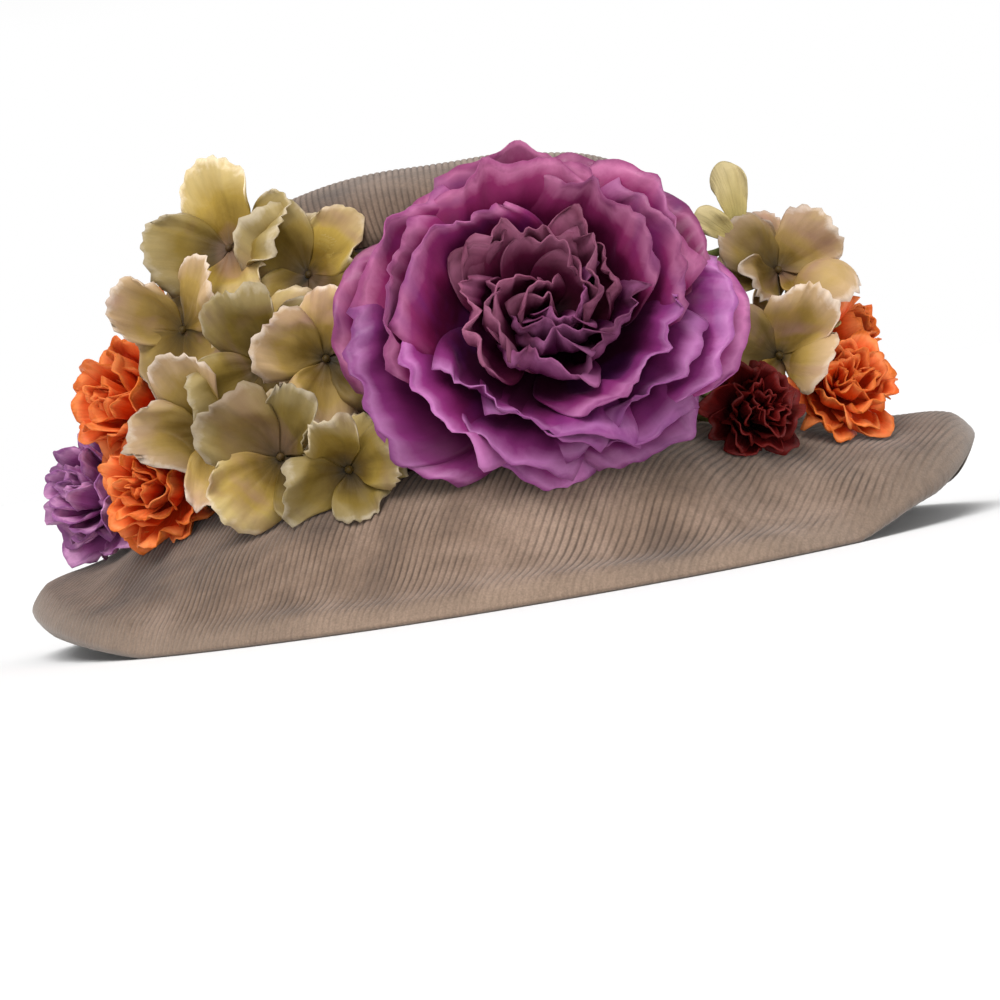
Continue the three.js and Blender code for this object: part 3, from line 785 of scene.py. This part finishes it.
# The petals of a ring, evenly round it or at the places given, each a little different
def ringPetals(ring, dice):
    petals = ring.get("at") or [(ring["start"] + 360 * i / ring["petals"], ring["reach"], ring["tip"])
                                for i in range(ring["petals"])]
    loose = ring["loose"]
    for turn, reach, tip in petals:
        yield {
            "turn": turn + dice.uniform(-60, 60) * loose,
            "reach": reach * (1 + dice.uniform(-1, 1) * loose),
            "tip": tip + reach * dice.uniform(-1, 1) * ring.get("sway", loose),
            "seed": dice.uniform(0, 6.28),
            "tone": dice.random(),
            "warmth": 0.5 + 0.5 * sin(radians(turn)) + dice.uniform(-0.2, 0.2),
        }


# A wrapped wire stem, from a flower's back in to the cloth of the crown
stem = {
    "radius": 1.1, "sides": 10, "reachIn": 0.35, "lowest": 56.0, "highest": 98.0, "sag": 2.5, "cuts": 7,
    "behind": 0.8, "intoWall": 0.2, "steps": 200, "turns": 6, "shade": 0.6,
}


def addStem(bm, flower):
    head = flowerFrame(flower) @ Vector((0, 0, -stem["behind"]))
    height = min(stem["highest"], max(stem["lowest"], flower["z"]))
    inside = Vector((stem["reachIn"] * flower["x"], stem["reachIn"] * flower["y"], height))
    for step in range(stem["steps"]):
        foot = head.lerp(inside, step / (stem["steps"] - 1))
        if planRadius(foot) < planRadius(crownSidePoint(crownAngle(foot), foot.z)) - stem["intoWall"]:
            break
    way = foot - head
    aim = Matrix.Translation((head + foot) / 2) @ way.to_track_quat("Z", "Y").to_matrix().to_4x4()
    count = len(bm.verts)
    made = bmesh.ops.create_cone(bm, cap_ends=True, segments=stem["sides"], radius1=stem["radius"],
                                 radius2=stem["radius"], depth=way.length, matrix=aim)["verts"]
    run = way.normalized()
    # Not from a set, whose order changes from run to run
    sides = [edge for edge in dict.fromkeys(edge for vert in made for edge in vert.link_edges)
             if abs((edge.verts[0].co - edge.verts[1].co).dot(run)) > 0.9 * way.length]
    bmesh.ops.subdivide_edges(bm, edges=sides, cuts=stem["cuts"], use_grid_fill=True)
    across, along = layersOf(bm, "across", "along")
    bm.verts.ensure_lookup_table()
    for vert in bm.verts[count:]:
        share = (vert.co - head).dot(run) / way.length
        vert.co.z -= stem["sag"] * sin(pi * min(1, max(0, share)))
        vert[across], vert[along] = share * stem["turns"], stem["shade"]
        for face in vert.link_faces:
            face.material_index = 1


# The small knotted heart of a floret
beadShape = {"radius": 1.05, "around": 10, "rings": 6, "lift": 0.5, "shade": 0.2}


def addBead(bm, place):
    lifted = place @ Matrix.Translation((0, 0, beadShape["lift"]))
    made = bmesh.ops.create_uvsphere(bm, u_segments=beadShape["around"], v_segments=beadShape["rings"],
                                     radius=beadShape["radius"], matrix=lifted)["verts"]
    along, = layersOf(bm, "along")
    for vert in made:
        vert[along] = beadShape["shade"]


def nodeName(name):
    return "".join("_" + letter.lower() if letter.isupper() else letter for letter in name)


def stays(point):
    return point


def growFlower(name, place, rings, silk, seed, stemOf=None, pushed=stays, bead=False, node=None):
    bm = newSurface(petalValues, "petal")
    dice = random.Random(seed)
    for given in rings:
        ring = {**plainPetal, **given}
        for petal in ringPetals(ring, dice):
            made = addPetal(bm, place, ring, petal, pushed)
            for face in {face for vert in made for face in vert.link_faces}:
                face.material_index = ring["material"]
    if stemOf:
        addStem(bm, stemOf)
    if bead:
        addBead(bm, place)
    layOut(bm, "petal", 0.5, 0.5)
    piece = addPiece(name, bm, [silk, greenSilk], [node or nodeName(name)])
    wall = piece.modifiers.new("thickness", "SOLIDIFY")
    wall.thickness = silkThickness / 1000
    wall.offset = 0


# The first seed of each kind of flower
seeds = {"rose": 40, "floret": 80, "bloom": 120, "bud": 160, "leaf": 170}

# Green silk and tape of the stems, sepals and calyx
greenLook = {
    "main": hexRamp((0.0, "5b6a2c"), (0.6, "8a9450"), (1.0, "b0ae74")),
    "blotchColour": hexColour("6e7438"), "blotch": 0.6, "dim": 0.7, "roughness": 0.6,
}
greenSilk = silkMaterial("greenSilk", greenLook)

# Rose: open back petals, cupped rings with turned-back rims, and a crumpled heart
rose = {"x": 26, "y": -104, "z": 77, "turn": 3, "lift": 20}
# In both rose looks the darkest stops are painted shade in the hollows, and the light stop just short of the
# edge is a painted highlight on the rims
roseLook = {
    "main": hexRamp((0.0, "100009"), (0.5, "340523"), (0.72, "6c1c55"), (0.87, "963780"), (0.96, "c87cba"),
                    (1.0, "a45496")),
    "warm": hexRamp((0.0, "120008"), (0.5, "37041e"), (0.74, "6c1242"), (0.88, "962c66"), (0.96, "c8739f"),
                    (1.0, "9e4a7a")),
    "blotchColour": hexColour("5e2270"), "blotch": 0.4, "blotchSize": 34.0, "mottleSize": 40.0, "drift": 0.24,
    "dim": 0.62, "roughness": 0.4, "warmSize": 18.0, "veins": 9.0, "veinDepth": 0.4,
}
roseHeartLook = {
    "main": hexRamp((0.0, "0e000a"), (0.42, "36062a"), (0.7, "6b1f56"), (0.93, "ac6696"), (1.0, "83446c")),
    "warm": hexRamp((0.0, "0e0008"), (0.42, "3c0620"), (0.7, "74254a"), (0.93, "b66f8e"), (1.0, "8a4c66")),
    "blotchColour": hexColour("5a2434"), "blotch": 0.5, "mottleSize": 60.0, "drift": 0.3, "dim": 0.66,
    "roughness": 0.42, "sheen": 0.08, "gloss": 0.14, "veins": 9.0, "veinDepth": 0.5,
}
cupPetal = {"root": 4, "round": 0.3, "curl": 5.5, "roll": 3.6, "pleat": 2.4, "waves": 1.4, "lap": 3.6,
            "crinkle": 6.0, "loose": 0.03, "grid": (30, 24)}
heartPetal = {"round": 0.34, "lap": 4.2, "ruffle": 1.8, "waves": 1.6, "curl": 0.8, "roll": 2.0,
              "crinkle": 6.0, "grain": 0.11, "creases": 0.34, "pleat": 2.0, "grid": (28, 18)}
rosePieces = {
    "rosePetalsBack": [
        {**cupPetal, "at": [(-6, 59, 9), (-55, 51, 9), (-104, 46, 10), (-152, 58, 9), (163, 62, 10),
                            (115, 51, 14), (62, 50, 15), (28, 55, 12)],
         "base": 0.5, "belly": 0.7, "half": 44, "ruffle": 1.6, "grain": 0.045,
         "loose": 0.02}],
    "rosePetalsOuter": [
        {**cupPetal, "at": [(90, 46, 26), (36, 46, 23), (-14, 51, 18), (-66, 43, 19), (-118, 42, 19),
                            (-168, 54, 17), (140, 48, 23)],
         "base": 3, "belly": 0.9, "half": 48, "ruffle": 1.5, "grain": 0.05}],
    "rosePetalsMiddle": [
        {**cupPetal, "at": [(92, 39, 30), (22, 40, 26.5), (-41, 39, 23), (-98, 36, 25), (-152, 41, 25),
                            (160, 42, 27)],
         "base": 5, "belly": 0.98, "half": 56, "lap": 3.4, "ruffle": 1.4, "crinkle": 5.5, "grain": 0.06},
        {**cupPetal, "at": [(138, 33, 31), (50, 33, 30), (-44, 32.5, 28), (-120, 34, 28)],
         "base": 6.5, "belly": 1.06, "half": 72, "ruffle": 1.2, "crinkle": 4.5, "grain": 0.07,
         "curl": 4.0}],
    "rosePetalsInner": [
        {**heartPetal, "petals": 5, "start": 40, "reach": 21.5, "tip": 30, "root": 4, "base": 8,
         "belly": 1.22, "half": 60, "lap": 4.0, "loose": 0.08, "shift": (1, 0)},
        {**heartPetal, "petals": 4, "start": 5, "reach": 16.5, "tip": 32, "root": 3, "base": 9,
         "belly": 1.35, "half": 74, "loose": 0.14, "shift": (-1, 2)}],
    "roseHeart": [
        {**heartPetal, "petals": 4, "start": 70, "reach": 12.5, "tip": 32, "root": 2.5, "base": 10.5,
         "belly": 1.5, "half": 78, "loose": 0.18, "shift": (2, 1)},
        {**heartPetal, "petals": 3, "start": 20, "reach": 7.5, "tip": 31, "root": 2, "base": 11,
         "belly": 1.7, "half": 96, "lap": 3.6, "crinkle": 4.5, "loose": 0.22, "shift": (4, -1)},
        {**heartPetal, "petals": 2, "start": 80, "reach": 3.5, "tip": 28, "root": 1, "base": 11,
         "belly": 1.8, "half": 120, "lap": 2.4, "crinkle": 3.5, "loose": 0.22, "shift": (0, -3)}],
}

print("rose")
roseSilk = silkMaterial("roseSilk", roseLook)
roseHeartSilk = silkMaterial("roseHeartSilk", roseHeartLook)
for seed, (name, rings) in enumerate(rosePieces.items(), seeds["rose"]):
    isHeart = name == "roseHeart"
    silk = roseHeartSilk if isHeart or name == "rosePetalsInner" else roseSilk
    growFlower(name, flowerFrame(rose), rings, silk, seed,
               rose if isHeart else None)

# Small ruffled blooms and closed buds
# As on the rose, the darkest stops near the root are painted shade in the blooms' hollows, and the light stop
# just short of the edge is a painted highlight on the rims
orangeLook = {
    "main": hexRamp((0.0, "8e1a02"), (0.4, "d63c0a"), (0.75, "f4581a"), (0.96, "ff9250"), (1.0, "e6742c")),
    "blotchColour": hexColour("c8360a"), "blotch": 0.4, "dim": 0.8, "roughness": 0.46, "veinDepth": 0.4,
}
violetLook = {
    "main": hexRamp((0.0, "22031c"), (0.42, "702866"), (0.76, "ad5a9c"), (0.94, "dfa2d0"), (1.0, "a0609a")),
    "blotchColour": hexColour("602868"), "blotch": 0.5, "dim": 0.72, "roughness": 0.45,
}
# The red bloom's near-black red is painted shade: it stands in deep shade right of the rose
shadedRedLook = {
    "main": hexRamp((0.0, "160204"), (0.5, "3c070a"), (0.85, "650d10"), (1.0, "7d1a16")),
    "blotchColour": hexColour("240506"), "blotch": 0.6, "dim": 0.6, "roughness": 0.5,
}
leafLook = {
    "main": hexRamp((0.0, "8f8340"), (0.5, "bfab6c"), (1.0, "cfbd8e")),
    "blotchColour": hexColour("ab9662"), "blotch": 0.4, "dim": 0.85, "roughness": 0.6,
}


# Columns: name, place, the way it faces, radius, and one more value named by last
def flowerRows(last, rows):
    columns = ("name", "x", "y", "z", "turn", "lift", "radius", last)
    return [dict(zip(columns, row)) for row in rows]


blooms = flowerRows("depth", [
    ("orangeBloomLow", -98, -62, 49, -34, 10, 18, 17),
    ("orangeBloomHigh", -104, -42, 76, -42, 18, 20, 18),
    ("orangeBloomBack", -90, -28, 97, -56, 28, 14, 13),
    ("violetBloom", -121, -22, 50, -50, 20, 21, 18),
    ("redBloom", 86, -86, 43, 14, 8, 13, 13),
    ("orangeBloomRight", 116, -60, 46, 24, 30, 18, 11),
])
buds = flowerRows("length", [
    ("orangeBudUpper", 112, -46, 71, 40, 30, 8, 22),
    ("orangeBudLower", 119, -36, 62, 56, 12, 8, 20),
])
bloomShape = {"levelTurn": 37, "cover": 260}
budSunk = 0.15  # share of its length behind its place


def bloomRings(radius, depth):
    shared = {"root": 1.5, "lap": 1.6, "grid": (16, 10), "neck": 0.6, "grain": 0.18, "loose": 0.14}
    levels = [(6, 1.0, -0.35, 0.3, 0.75), (6, 0.86, -0.25, 0.62, 0.85), (5, 0.66, -0.1, 0.92, 0.95),
              (5, 0.46, 0.1, 1.08, 1.05), (4, 0.26, 0.2, 1.08, 1.15), (3, 0.12, 0.3, 1.0, 1.3)]
    rings = []
    for level, (petals, out, base, tip, belly) in enumerate(levels):
        rings.append({**shared, "petals": petals, "start": bloomShape["levelTurn"] * level,
                      "reach": out * radius, "tip": tip * depth, "base": base * depth, "belly": belly,
                      "half": bloomShape["cover"] / petals, "round": 0.4, "ruffle": 1.3, "waves": 2.2,
                      "curl": 2.6 * out, "crinkle": 3.8})
    rings.append({**shared, "petals": 5, "start": 20, "reach": 0.66 * radius, "tip": -0.32 * depth,
                  "base": -0.6 * depth, "belly": 0.6, "half": 26, "round": 0.3, "ruffle": 0.4, "waves": 1.0,
                  "curl": 0.6, "crinkle": 1.0, "material": 1})
    return rings


print("blooms")
silks = {colour: silkMaterial(colour + "Silk", look) for colour, look in (
    ("orange", orangeLook), ("violet", violetLook), ("red", shadedRedLook), ("leaf", leafLook))}
for seed, bloom in enumerate(blooms, seeds["bloom"]):
    colour = nodeName(bloom["name"]).split("_")[0]
    growFlower(bloom["name"], flowerFrame(bloom), bloomRings(bloom["radius"], bloom["depth"]),
               silks[colour], seed, bloom)


def budRings(radius, length):
    shared = {"root": 1.2, "lap": 1.0, "grid": (18, 16), "neck": 0.9, "grain": 0.2, "loose": 0.05,
              "taper": 0.55}
    return [
        {**shared, "petals": 4, "start": 0, "reach": 0.55 * radius, "tip": 0.86 * length, "base": 0,
         "belly": 3.0, "bellyRise": 0.4, "half": 62, "round": 0.16, "ruffle": 0.8, "waves": 2.2, "curl": 1.5,
         "crinkle": 1.4},
        {**shared, "petals": 3, "start": 40, "reach": 0.34 * radius, "tip": 0.84 * length, "base": 0.5,
         "belly": 3.6, "bellyRise": 0.4, "half": 80, "round": 0.14, "ruffle": 0.7, "waves": 2.0, "curl": 0.6,
         "crinkle": 1.2},
        {**shared, "petals": 5, "start": 10, "reach": 0.95 * radius, "tip": 0.42 * length, "base": -1,
         "belly": 1.2, "bellyRise": 0.1, "half": 26, "round": 0.4, "ruffle": 0.3, "waves": 1.0, "curl": 2.0,
         "crinkle": 0.8, "material": 1},
    ]


for seed, bud in enumerate(buds, seeds["bud"]):
    place = flowerFrame(bud) @ Matrix.Translation((0, 0, -budSunk * bud["length"]))
    growFlower(bud["name"], place, budRings(bud["radius"], bud["length"]), silks["orange"],
               seed, bud)

# Hydrangea: broad four-petalled florets with finely toothed, faded edges
# The dark root of these ramps is painted shade between the crowded petals; the pale edges are the florets'
# own colour
hydrangeaLook = {
    "blotchSize": 34.0, "dim": 0.42, "roughness": 0.55, "veins": 12.0, "veinDepth": 0.45, "relief": 0.3,
}
oliveLook = {
    **hydrangeaLook, "blotchColour": hexColour("a47e66"), "blotch": 0.65,
    "main": hexRamp((0.0, "241802"), (0.32, "765a12"), (0.66, "b39542"), (0.92, "cdb478"), (1.0, "f3dfba")),
}
sandLook = {
    **hydrangeaLook, "blotchColour": hexColour("a67c74"), "blotch": 0.7,
    "main": hexRamp((0.0, "2a1e04"), (0.32, "7c6020"), (0.66, "b6964e"), (0.92, "ceac82"), (1.0, "f0dac4")),
}
florets = flowerRows("spin", [
    ("hydrangeaLeftTop", -66, -62, 120, -26, 26, 24, 10),
    ("hydrangeaLeftHigh", -42, -76, 107, -10, 20, 22, 38),
    ("hydrangeaLeftSide", -84, -66, 97, -38, 8, 23, 50),
    ("hydrangeaLeftMiddle", -59, -86, 82, -16, 8, 24, 22),
    ("hydrangeaLeftInner", -40, -97, 80, -4, 6, 20, 66),
    ("hydrangeaLeftLow", -80, -80, 64, -32, -4, 23, 4),
    ("hydrangeaLeftFront", -58, -102, 53, -14, 4, 22, 45),
    ("hydrangeaLeftUnder", -38, -110, 46, -4, -2, 18, 15),
    ("hydrangeaRightHigh", 104, -50, 86, 26, 14, 20, 30),
    ("hydrangeaRightLow", 98, -70, 59, 20, 4, 20, 62),
])
sandFlorets = ("hydrangeaLeftSide", "hydrangeaLeftInner", "hydrangeaLeftLow", "hydrangeaRightHigh",
               "hydrangeaRightLow")


def floretRings(radius):
    shared = {"root": 0.4, "teeth": 0.03, "toothCount": 7, "grid": (24, 16), "neck": 0.66, "grain": 0.07,
              "round": 0.46, "waves": 2.0, "crinkle": 6.5, "creases": 0.3, "frill": 0.8,
              "petals": 4, "loose": 0.16}
    return [
        {**shared, "start": 0, "reach": radius, "tip": 9.5, "base": 0, "belly": 0.55, "half": 60,
         "lap": 2.6, "ruffle": 1.8, "curl": 2.4, "roll": 1.4, "sway": 0.36},
        {**shared, "start": 45, "reach": 0.96 * radius, "tip": -6, "base": -1.4, "belly": 0.5, "half": 56,
         "lap": 2.0, "ruffle": 1.4, "curl": 1.4, "roll": 1.2, "crinkle": 4.5, "sway": 0.14},
    ]


# Florets lie against the round heads beside them and tuck in behind the rose
heads = {"bloomMiddle": 0.3, "bloomRoom": 1.5, "budParts": (0.0, 0.5), "budRoom": 1.35, "near": 1.5,
         "soft": 0.6}
behindRose = {"rise": 8.5, "width": 60, "under": 3, "edge": 54, "slope": 3, "soft": 0.8}
roundHeads = [(flowerFrame(bloom) @ Vector((0, 0, heads["bloomMiddle"] * bloom["depth"])),
               bloom["radius"] + heads["bloomRoom"]) for bloom in blooms]
roundHeads += [(flowerFrame(bud) @ Vector((0, 0, part * bud["length"])), heads["budRoom"] * bud["radius"])
               for bud in buds for part in heads["budParts"]]
roseFrame = flowerFrame(rose)
towardsRose = roseFrame.inverted()


def tuckedIn(point):
    for middle, radius in roundHeads:
        way = point - middle
        if way.length < heads["near"] * radius:
            point = middle + way * (softMax(way.length, radius, heads["soft"]) / way.length)
    local = towardsRose @ point
    reach = planRadius(local)
    highest = behindRose["rise"] * (reach / behindRose["width"]) ** 2 - behindRose["under"]
    highest += behindRose["slope"] * max(0, reach - behindRose["edge"])
    local.z = -softMax(-local.z, -highest, behindRose["soft"])
    return roseFrame @ local


print("hydrangea")
oliveSilk = silkMaterial("oliveSilk", oliveLook)
sandSilk = silkMaterial("sandSilk", sandLook)
for seed, floret in enumerate(florets, seeds["floret"]):
    sand = floret["name"] in sandFlorets
    growFlower(floret["name"], flowerFrame(floret), floretRings(floret["radius"]),
               sandSilk if sand else oliveSilk,
               seed, floret, tuckedIn, bead=True)

# Pale leaf, two blades that stand behind the right-hand flowers
leaf = {"x": 94, "y": -52, "z": 97, "turn": 8, "lift": 0}
leafBlade = {
    "root": 0.5, "base": 0, "belly": 0.5, "half": 22, "round": 0.42, "lap": 1.5, "ruffle": 1.2, "waves": 1.4,
    "curl": 2.4, "crinkle": 3.4, "grain": 0.1, "creases": 0.3, "grid": (18, 24), "neck": 0.9, "loose": 0.0,
}
leafRings = [{**leafBlade, "at": [(92, 27, -3)]}, {**leafBlade, "at": [(140, 17, 3)], "half": 30}]
growFlower("paleLeaf", flowerFrame(leaf), leafRings, silks["leaf"], seeds["leaf"], leaf,
           node="leaf")

# Floor, light and camera
print("stage")
studio = {
    "floorSize": 30, "floorColour": grey(0.94), "floorRoughness": 0.9, "sky": 1.0, "overhead": 0.45,
    "sunPower": 2.5, "sunAngle": 40.0, "sunFrom": (-0.3, -0.9, 1.25),
    "fillFrom": (1.5, -1.3, 0.5), "fillAim": (0, 0, 0.06), "fillSize": 1.0, "fillPower": 4.5,
    "cameraAim": (0.001, 0.0, 0.027), "cameraDistance": 1.0, "cameraElevation": 1.5, "cameraRoll": 9.3,
    "lens": 108.0,
}


def makeFloor():
    bm = bmesh.new()
    bmesh.ops.create_grid(bm, x_segments=1, y_segments=1, size=studio["floorSize"])
    mesh = bpy.data.meshes.new("floor")
    bm.to_mesh(mesh)
    bm.free()
    material, _, shader = newMaterial("paleFloor")
    shader.inputs["Base Color"].default_value = studio["floorColour"]
    shader.inputs["Roughness"].default_value = studio["floorRoughness"]
    mesh.materials.append(material)
    addObject("floor", mesh)


# Plain white surroundings, a little dimmer overhead so that folds keep their shade
def makeWorld():
    world = bpy.data.worlds.new("studio")
    world.use_nodes = True
    tree = world.node_tree
    height = splitNode(tree, tree.nodes.new("ShaderNodeTexCoord").outputs["Generated"])["Z"]
    sky = rampNode(tree, height, [(0.15, grey(studio["sky"])), (0.5, grey(studio["overhead"]))])
    plug(tree, tree.nodes["Background"].inputs["Color"], sky)
    bpy.context.scene.world = world


# Points an object's -Z along a direction
def lookAlong(direction):
    return direction.to_track_quat("-Z", "Y")


def addSun():
    light = bpy.data.lights.new("sun", "SUN")
    light.energy = studio["sunPower"]
    light.angle = radians(studio["sunAngle"])
    addObject("sun", light).rotation_euler = lookAlong(-Vector(studio["sunFrom"])).to_euler()


def addFill():
    light = bpy.data.lights.new("fill", "AREA")
    light.shape = "DISK"
    light.size = studio["fillSize"]
    light.energy = studio["fillPower"]
    lamp = addObject("fill", light)
    lamp.location = studio["fillFrom"]
    lamp.rotation_euler = lookAlong(Vector(studio["fillAim"]) - Vector(studio["fillFrom"])).to_euler()


def addCamera():
    camera = addObject("camera", bpy.data.cameras.new("camera"))
    camera.data.lens = studio["lens"]
    elevation = radians(studio["cameraElevation"])
    back = Vector((0, -cos(elevation), sin(elevation)))
    camera.location = Vector(studio["cameraAim"]) + back * studio["cameraDistance"]
    roll = Matrix.Rotation(radians(-studio["cameraRoll"]), 4, "Z")
    camera.rotation_euler = (lookAlong(-back).to_matrix().to_4x4() @ roll).to_euler()
    bpy.context.scene.camera = camera


makeFloor()
makeWorld()
addSun()
addFill()
addCamera()
bpy.context.scene.view_settings.view_transform = "Standard"
